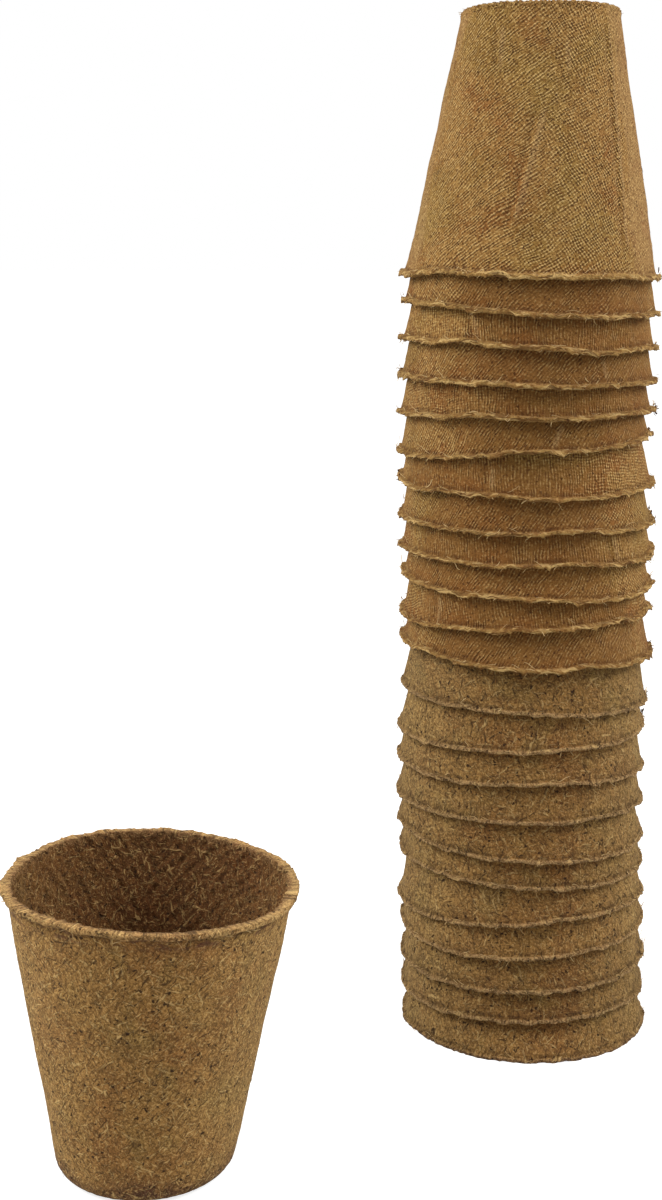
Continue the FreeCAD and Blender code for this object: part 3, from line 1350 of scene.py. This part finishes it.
@dataclass
class PotSet:
    """All the pots: the nested stack and the standing one."""

    coarse_count: int = 11
    thick_from: int = 18
    coarse: Mould = field(default_factory=lambda: Mould(
        "coarse_mould", PotForm(58.2, 57.2, lip_thickness=0.7, lip_edge_share=0.25, neck_round=0.5)))
    woven: Mould = field(default_factory=lambda: Mould("woven_mould", woven_form(0.72, neck_round=0.4)))
    thick: Mould = field(default_factory=lambda: Mould("thick_lip_mould", woven_form(1.0, neck_round=0.4)))
    top: Mould = field(default_factory=lambda: Mould(
        "top_mould", woven_form(1.1, 1.7, wall_step=0.6, floor_step=0.9, steps=420)))
    standing: Mould = field(default_factory=lambda: Mould("standing_mould", PotForm(
        60.0, 58.1, lip_thickness=1.0, lip_edge_share=0.2, inside_step=0.7, wall_step=0.9, steps=400)))
    standing_nudge: tuple[float, float] = (0.2, 0.2)
    woven_wear: Wear = Wear(neck_stain=1.0)
    # Its tone of -0.5, against 0.45 for the standing pot, makes the same pulp darker in the stack: partly
    # each pot's own tone, partly painted shade between the lips
    coarse_wear: Wear = Wear(
        painted_side_light=0.5, lip_wave=0.2, kink_height=0.35, lip_flakes=0.16, tone=-0.5, lip_reach=0.1,
        lip_flare=0.14, flare_from=6.5, band_bulge=0.15)
    top_wear: Wear = Wear(
        neck_stain=1.0, band_shade_and_stain=0.0, print_strength=1.0, print_gaps=((-108.0, -70.0), (46.0, 112.0)),
        square_from=5.0, base_grain=0.28, creases=(
            Crease(3.0, 17.0, -35.0, -33.0, 1.0, 0.12),
            Crease(21.0, 50.0, -4.0, -18.0, 1.2, 0.26),
            Crease(2.0, 56.0, 45.0, 41.0, 0.9, 0.24),
            Crease(6.0, 18.0, 8.0, 10.0, 1.0, 0.1),
        ))
    standing_wear: Wear = Wear(
        seed=77, rise_left=0.6, rise_right=-2.4, lip_wave=0.12, kinks=2, kink_height=0.25,
        lip_ragged=0.07, lip_flakes=0.2, lip_reach=0.08, lip_flare=0.0, droop=0.1, wall_dent=0.1,
        inner_grain=0.16, band_shade_and_stain=0.0, tone=0.45, lip_pale=0.42, painted_side_light=0.36, neck_stain=1.0,
        mouth_square=0.01, lean=2.3)
    crumb_turns: dict[int, float] = field(default_factory=lambda: {
        10: 92.0, 11: 88.0, 16: 90.0, 17: -90.0, 18: 91.0, 19: 86.0, 21: 92.0, 23: 90.0,
    })
    band_folds: dict[int, Crease] = field(default_factory=lambda: {
        13: Crease(52.5, 60.0, -52.0, -50.0, 0.9, 0.2, 2.0),
        15: Crease(52.0, 60.0, 36.0, 37.5, 1.0, 0.32, 2.0),
        17: Crease(52.5, 59.5, -23.0, -22.5, 0.8, 0.22, 2.0),
        18: Crease(52.5, 60.0, 9.0, 3.0, 1.1, 0.28, 2.0),
        20: Crease(52.5, 59.5, 28.0, 30.0, 0.9, 0.2, 2.0),
        21: Crease(52.5, 59.5, -34.0, -30.0, 0.9, 0.22, 2.0),
    })
    # How far each lip of the stack is up at the left, the front and the right, from the floor up
    rises: tuple[tuple[float, float, float], ...] = (
        (0.0, 0.0, 0.0), (-1.0, 0.4, 0.25), (-1.25, -0.8, 0.25), (-1.5, -0.6, 0.75), (-3.5, -0.2, -0.25),
        (1.0, 0.2, -1.25), (0.25, -1.5, -2.0), (-0.75, -0.25, -1.25), (-0.5, 0.5, -1.25), (-0.75, 0.0, 0.75),
        (1.5, 0.75, -1.5), (2.0, 0.0, -0.5), (0.0, 1.25, 1.5), (1.5, -0.25, -0.5), (0.5, -0.5, -0.75),
        (-0.5, -1.0, -1.0), (0.5, -1.0, -0.25), (-1.0, 0.75, 3.0), (0.5, 0.75, 0.75), (1.0, 0.0, -0.5),
        (1.5, 0.25, -0.75), (2.25, -0.25, -1.0), (0.75, 0.0, -0.75),
    )

    def wear_of(self, number: int) -> Wear:
        """How uneven a pot of the stack is.

        Args:
            number: The pot's number, from 1 at the floor.

        Returns:
            Its wear.
        """
        i = number - 1
        left, front, right = self.rises[i]
        own = {
            "seed": number,
            "rise_left": left,
            "rise_front": front,
            "rise_right": right,
            # The band's painted shade is centred within 25 degrees of the front
            "band_shade_turn": (i * 47.0) % 50.0 - 25.0,
            "crumb_turn": self.crumb_turns.get(number),
        }
        if number == len(self.rises):
            return replace(self.top_wear, **own)
        own["square_from"] = (i * 83.0) % 240.0 - 120.0
        own["wrap_turn"] = 2.0 - (i * 37.0) % 76.0
        if number in self.band_folds:
            own["creases"] = (self.band_folds[number],)
        if number == 1:
            # The pot on the floor also gets a painted shadow along its lip edge, where it meets the floor
            own.update(lip_wave=0.05, kinks=0, lip_pale=0.4, dark_edge=0.5)
        return replace(self.coarse_wear if number <= self.coarse_count else self.woven_wear, **own)

    def mould_of(self, number: int) -> Mould:
        """Choose the mould of a pot of the stack.

        Args:
            number: The pot's number, from 1 at the floor.

        Returns:
            Its mould.
        """
        if number <= self.coarse_count:
            return self.coarse
        if number == len(self.rises):
            return self.top
        return self.thick if number > self.thick_from else self.woven

    def pots(self) -> list[Pot]:
        """Give every pot its place and wear.

        Returns:
            The pots, from the floor up, and the standing one last.
        """
        bend = StackBend()
        pots = []
        for number in range(1, len(self.rises) + 1):
            name = f"stack_pot_{number:02d}"
            pots.append(Pot(
                name=name,
                mould=self.mould_of(number),
                batch=Batch.COARSE if number <= self.coarse_count else Batch.WOVEN,
                axis=axis_of(name),
                foot=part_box(name)[0].z / MM,
                mouth_down=True,
                wear=self.wear_of(number),
                bend=bend,
                free_wall=number == len(self.rises),
            ))
        name = "standing_pot"
        x, y = axis_of(name)
        axis = (x + self.standing_nudge[0], y + self.standing_nudge[1])
        pots.append(Pot(name, self.standing, Batch.COARSE, axis, 0.0, False, self.standing_wear))
        return pots

    def fibres_of(self, pot: Pot, strand: Strand) -> LooseFibres:
        """Choose the stray fibres of a pot, more where its whole wall shows.

        Args:
            pot: The pot.
            strand: The fibre to copy.

        Returns:
            The fibres, still to be built.
        """
        woven = pot.batch is Batch.WOVEN
        standing = not pot.mouth_down
        full_wall = pot.free_wall or standing
        counts = {
            Stray.HAIR: 90 if woven else 50,
            Stray.WALL: (650 if standing else 260) if full_wall else 40 if woven else 150,
            Stray.INSIDE: 1300 if standing else 0,
            Stray.BURR: 140 if pot.free_wall else 0,
            Stray.CRUMB: 0 if pot.wear.crumb_turn is None else 16,
        }
        return LooseFibres(pot, strand, counts, lowest=3.0 if full_wall else pot.form.height - 10.0)

    def build(self) -> None:
        """Build and dress every pot and its fibres."""
        finishes = {Batch.COARSE: CoarseFibre().material(), Batch.WOVEN: WovenFibre().material()}
        stray = StrayFibre().material()
        strand = Strand()
        strand.make()
        moulds = (self.coarse, self.woven, self.thick, self.top, self.standing)
        for mould in moulds:
            mould.make()
        for pot in self.pots():
            shell = pot.build()
            dress(shell, finishes[pot.batch], pot.name)
            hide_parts(pot.name)
            dress(self.fibres_of(pot, strand).build(), stray, pot.name)
        for mould in moulds:
            mould.discard()


@dataclass
class Studio:
    """Camera, soft lamps, pale floor and backdrop. Lamps, their aim and the floor are in metres."""

    lens: float = 52.43
    sensor: float = 36.0
    pitch_down: float = 7.98
    camera_from_stack: tuple[float, float] = (-45.77, -408.43)
    camera_height: float = 182.74
    shift_down: float = 100.0 / 1200.0
    world_light: float = 0.27
    side_power: float = 6.2
    front_power: float = 0.35
    aim: tuple[float, float, float] = (0.0, 0.0, 0.11)
    floor_side: float = 40.0
    glow: tuple[float, float, float, float] = (150.0, 1200.0, 0.78, 1.0)

    def build(self) -> None:
        """Set up everything that isn't the object."""
        self.camera()
        self.floor()
        self.world()
        self.lamp("left_softbox", (-0.62, -0.12, 0.62), 0.5, self.side_power * 1.05)
        self.lamp("right_softbox", (0.66, -0.12, 0.62), 0.5, self.side_power)
        self.lamp("front_softbox", (0.0, -0.75, 0.6), 0.6, self.front_power)
        bpy.context.scene.view_settings.view_transform = "Standard"

    def camera(self) -> None:
        """Stand the camera where the photograph was taken from."""
        data = bpy.data.cameras.new("camera")
        data.lens = self.lens
        data.sensor_width = self.sensor
        data.shift_y = -self.shift_down
        data.clip_start = 0.01
        camera = put("camera", data)
        x, y = axis_of("stack_pot_01")
        right, back = self.camera_from_stack
        camera.location = ((x + right) * MM, (y + back) * MM, self.camera_height * MM)
        camera.rotation_euler = (math.radians(90.0 - self.pitch_down), 0.0, 0.0)
        bpy.context.scene.camera = camera

    def lamp(self, name: str, place: tuple[float, float, float], size: float, power: float) -> None:
        """Add a square softbox aimed at the middle of the set.

        Args:
            name: The lamp's name.
            place: Where it hangs.
            size: Side of the square.
            power: Power in watts.
        """
        data = bpy.data.lights.new(name, "AREA")
        data.shape = "SQUARE"
        data.size = size
        data.energy = power
        lamp = put(name, data)
        lamp.location = place
        lamp.rotation_euler = (Vector(self.aim) - Vector(place)).to_track_quat("-Z", "Y").to_euler()

    def seen_by(self, bench: Bench, *rays: str) -> object:
        """1 for light of the named kinds, 0 for light that bounces."""
        path = bench.add("ShaderNodeLightPath")
        return bench.chain("MAXIMUM", *[path.outputs[f"Is {ray} Ray"] for ray in rays])

    def floor(self) -> None:
        """Lay the pale floor, which keeps the soft shadow of the pots and looks white far off."""
        pick_nothing()
        bpy.ops.mesh.primitive_plane_add(size=self.floor_side, location=(0.0, 0.0, 0.0))
        floor = bpy.context.object
        floor.name = "floor"
        bench = Bench(bpy.data.materials.new("pale_floor"))
        grain = bench.noise(bench.place(), 0.02, 1.0)
        tint = bench.blend(grain, (0.5, 0.5, 0.49, 1.0), (0.53, 0.53, 0.52, 1.0))
        diffuse = bench.add("ShaderNodeBsdfDiffuse", {"Color": tint})
        away = bench.add("ShaderNodeVectorMath", {0: bench.place()}, operation="LENGTH").outputs["Value"]
        seen = self.seen_by(bench, "Camera", "Glossy", "Transmission")
        shine = bench.times(seen, bench.span(away, *self.glow))
        glow = bench.add("ShaderNodeEmission", {"Strength": shine})
        both = bench.add("ShaderNodeAddShader", {0: diffuse.outputs[0], 1: glow.outputs[0]})
        bench.add("ShaderNodeOutputMaterial", {0: both.outputs[0]})
        floor.data.materials.append(bench.owner)

    def world(self) -> None:
        """Even light from all round, seen as plain white."""
        bench = Bench(bpy.data.worlds.new("studio"))
        seen = self.seen_by(bench, "Camera", "Transmission")
        level = bench.add("ShaderNodeMapRange", {"Value": seen, "To Min": self.world_light, "To Max": 1.0})
        white = (1.0, 1.0, 1.0, 1.0)
        back = bench.add("ShaderNodeBackground", {"Color": white, "Strength": level.outputs[0]})
        bench.add("ShaderNodeOutputWorld", {0: back.outputs[0]})
        bpy.context.scene.world = bench.owner


def main() -> None:
    """Build the pots, then the studio round them."""
    logging.basicConfig(level=logging.INFO, format="%(message)s")
    PotSet().build()
    Studio().build()


if __name__ == "__main__":
    main()
